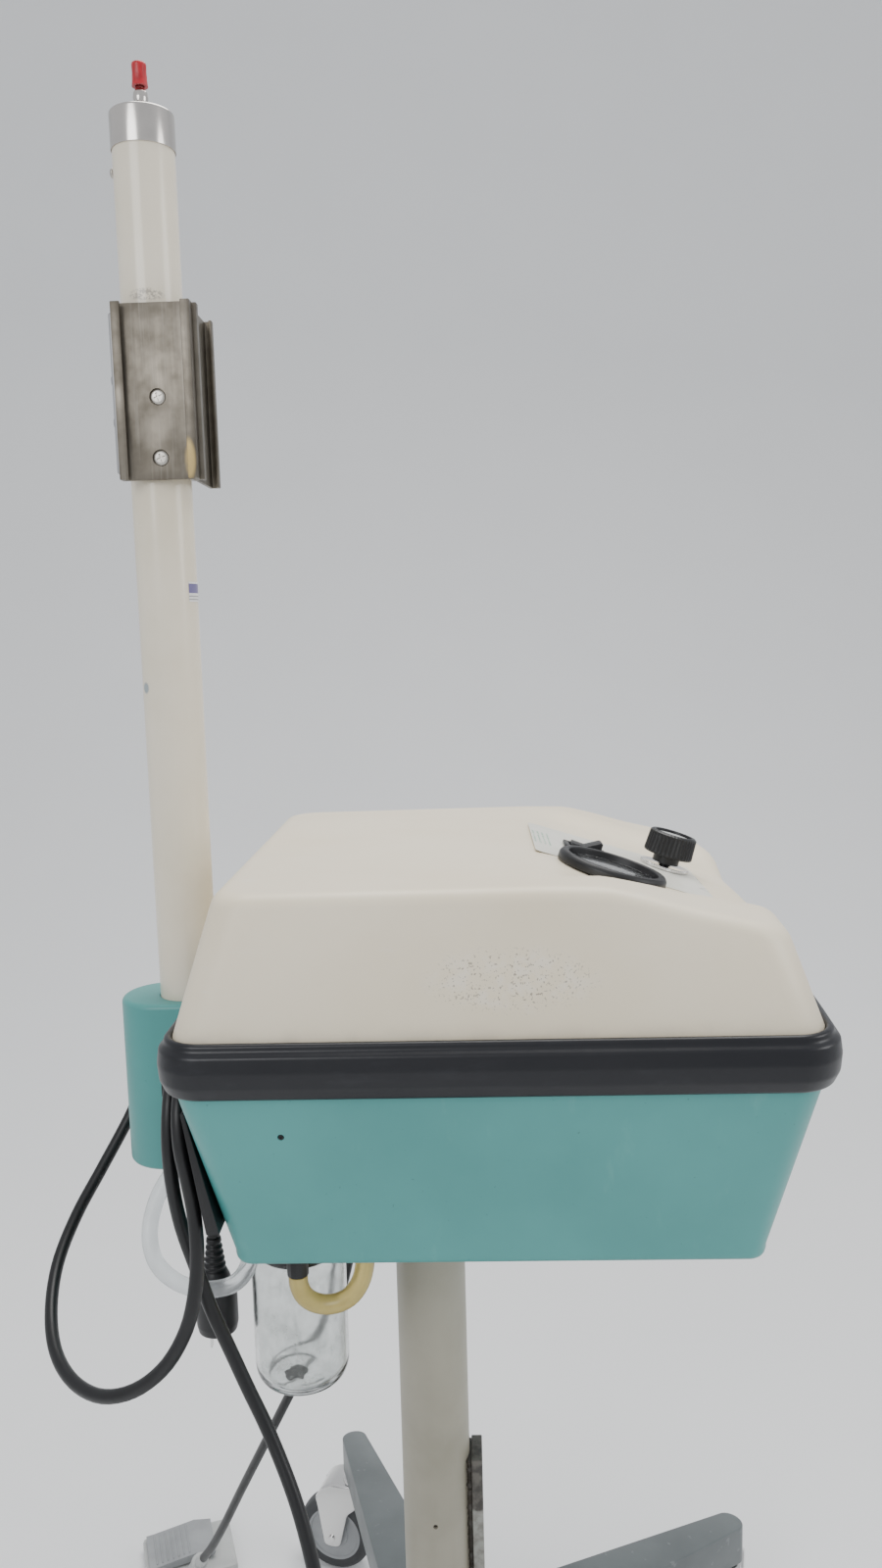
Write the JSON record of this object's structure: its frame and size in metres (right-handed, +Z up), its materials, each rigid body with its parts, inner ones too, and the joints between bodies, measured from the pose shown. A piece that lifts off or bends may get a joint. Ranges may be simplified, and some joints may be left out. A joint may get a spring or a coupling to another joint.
{
  "type": "mobile veterinary gas unit on a caster stand",
  "caption": "Pole-and-box medical gas and suction unit on a rolling five-arm stand, with gauge, knob, trap jar, channel bracket and cords.",
  "frame": {"origin": "on the floor, under the middle of the five-arm caster stand's footprint; the column stands 0.05 m in front of it", "axes": "+Z up, +X towards the control panel at the front, -X towards the pole at the rear, +Y towards the unit's left side"},
  "size_m": [0.8489, 0.8641, 1.6845],
  "materials": {
    "beige_enamel": "glossy cream enamel",
    "satin_enamel": "satin cream enamel",
    "cream_plastic": "satin moulded",
    "teal_plastic": "satin moulded",
    "bumper_rubber": "semi-gloss",
    "black_plastic": "fine grain",
    "chrome_plate": "polished",
    "bracket_plate": "worn plated",
    "clamp_metal": "worn satin",
    "screw_steel": "zinc plated",
    "base_grey": "grey enamel",
    "bar_metal": "worn bare and grey paint",
    "hub_grey": "grey tread",
    "brass": "turned",
    "jar_glass": "clear, whitish residue",
    "lens_clear": "clear",
    "pump_metal": "cast",
    "red_vinyl": "soft wrinkled",
    "cord_black": "smooth jacket",
    "hose_clear": "clear flexible tube",
    "hose_yellowed": "aged flexible tube",
    "switch_grey": "moulded",
    "pedal_grey": "ribbed moulded"
  },
  "bodies": {
    "unit": {"column": "satin_enamel", "pole": "beige_enamel", "upper_shell": "cream_plastic", "lower_shell": "teal_plastic", "pole_socket": "teal_plastic", "bumper": "bumper_rubber", "pole_cap": "chrome_plate", "outlet_fitting": "chrome_plate", "pole_screw": "screw_steel", "pole_foot_fitting": "brass", "gauge_case": "black_plastic", "gauge_bezel": "black_plastic", "gauge_lens": "lens_clear", "knob_washer": "chrome_plate", "valve_body": "brass", "switch_frame": "black_plastic", "vacuum_pump": "pump_metal", "jar_lid": "black_plastic", "gas_barb": "brass", "suction_barb": "brass", "mains_gland": "black_plastic", "foot_gland": "black_plastic", "mains_plug": "black_plastic", "hose_connector": "brass", "cord_hook": "black_plastic", "footswitch_base": "switch_grey", "mains_cord": "cord_black", "gas_hose": "cord_black", "gas_hose_coil": "cord_black", "foot_lead": "cord_black", "clear_tube": "hose_clear", "yellow_tube": "hose_yellowed", "column_bar": "bar_metal", "base_hub": "base_grey", "base_arm_1": "base_grey", "base_arm_2": "base_grey", "base_arm_3": "base_grey", "base_arm_4": "base_grey", "base_arm_5": "base_grey"},
    "knob": {"knob": "black_plastic"},
    "needle": {"gauge_needle": "screw_steel"},
    "rocker": {"switch_rocker": "black_plastic"},
    "outlet_cap": {"outlet_cap": "red_vinyl"},
    "channel_bracket": {"clamp_block": "clamp_metal", "channel_side": "bracket_plate", "channel_front": "bracket_plate", "channel_screw_upper": "screw_steel", "channel_screw_lower": "screw_steel"},
    "jar": {"jar": "jar_glass"},
    "foot_pedal": {"footswitch_pedal": "pedal_grey"},
    "caster_1": {"caster_fork_1": "chrome_plate"},
    "wheel_1": {"caster_wheel_1": "hub_grey"},
    "caster_2": {"caster_fork_2": "chrome_plate"},
    "wheel_2": {"caster_wheel_2": "hub_grey"},
    "caster_3": {"caster_fork_3": "chrome_plate"},
    "wheel_3": {"caster_wheel_3": "hub_grey"},
    "caster_4": {"caster_fork_4": "chrome_plate"},
    "wheel_4": {"caster_wheel_4": "hub_grey"},
    "caster_5": {"caster_fork_5": "chrome_plate"},
    "wheel_5": {"caster_wheel_5": "hub_grey"}
  },
  "joints": [
    {"name": "caster_1_swivel", "type": "hinge", "parent": "unit", "child": "caster_1", "pos_m": [0.37361, 0.23511, 0.1], "axis": [0, 0, 1], "continuous": true},
    {"name": "wheel_1_spin", "type": "hinge", "parent": "caster_1", "child": "wheel_1", "pos_m": [0.38137, 0.26409, 0.05], "axis": [-0.9659, 0.2588, 0], "continuous": true},
    {"name": "caster_2_swivel", "type": "hinge", "parent": "unit", "child": "caster_2", "pos_m": [-0.07361, 0.38042, 0.1], "axis": [0, 0, 1], "continuous": true},
    {"name": "wheel_2_spin", "type": "hinge", "parent": "caster_2", "child": "wheel_2", "pos_m": [-0.10258, 0.38819, 0.05], "axis": [-0.2588, -0.9659, 0], "continuous": true},
    {"name": "caster_3_swivel", "type": "hinge", "parent": "unit", "child": "caster_3", "pos_m": [-0.35, 0, 0.1], "axis": [0, 0, 1], "continuous": true},
    {"name": "wheel_3_spin", "type": "hinge", "parent": "caster_3", "child": "wheel_3", "pos_m": [-0.37719, -0.01268, 0.05], "axis": [0.4226, -0.9063, 0], "continuous": true},
    {"name": "caster_4_swivel", "type": "hinge", "parent": "unit", "child": "caster_4", "pos_m": [-0.07361, -0.38042, 0.1], "axis": [0, 0, 1], "continuous": true},
    {"name": "wheel_4_spin", "type": "hinge", "parent": "caster_4", "child": "wheel_4", "pos_m": [-0.1018, -0.39068, 0.05], "axis": [0.342, -0.9397, 0], "continuous": true},
    {"name": "caster_5_swivel", "type": "hinge", "parent": "unit", "child": "caster_5", "pos_m": [0.37361, -0.23511, 0.1], "axis": [0, 0, 1], "continuous": true},
    {"name": "wheel_5_spin", "type": "hinge", "parent": "caster_5", "child": "wheel_5", "pos_m": [0.38861, -0.2611, 0.05], "axis": [0.866, 0.5, 0], "continuous": true},
    {"name": "knob_turn", "type": "hinge", "parent": "unit", "child": "knob", "pos_m": [0.27054, 0.04, 1.00107], "axis": [0.297, 0, 0.9549], "range_deg": [0, 300]},
    {"name": "gauge_needle_turn", "type": "hinge", "parent": "unit", "child": "needle", "pos_m": [0.20955, -0.07, 1.01878], "axis": [0.297, 0, 0.9549], "range_deg": [-270, 0], "stiffness_Nm_per_rad": 0.0002},
    {"name": "rocker_tip", "type": "hinge", "parent": "unit", "child": "rocker", "pos_m": [0.1954, 0.004, 1.02548], "axis": [0, 1, 0], "range_deg": [0, 12]},
    {"name": "outlet_cap_pull", "type": "slide", "parent": "unit", "child": "outlet_cap", "axis": [0, 0, 1], "range_m": [0, 0.03]},
    {"name": "bracket_slide", "type": "slide", "parent": "unit", "child": "channel_bracket", "axis": [0, 0, 1], "range_m": [-0.3, 0.11]},
    {"name": "jar_drop", "type": "slide", "parent": "unit", "child": "jar", "axis": [0, 0, -1], "range_m": [0, 0.06]},
    {"name": "pedal_press", "type": "hinge", "parent": "unit", "child": "foot_pedal", "pos_m": [-0.34904, 0.37354, 0.0225], "axis": [-0.342, 0.9397, 0], "range_deg": [0, 3.4], "stiffness_Nm_per_rad": 0.6, "springref_deg": -11.46}
  ]
}
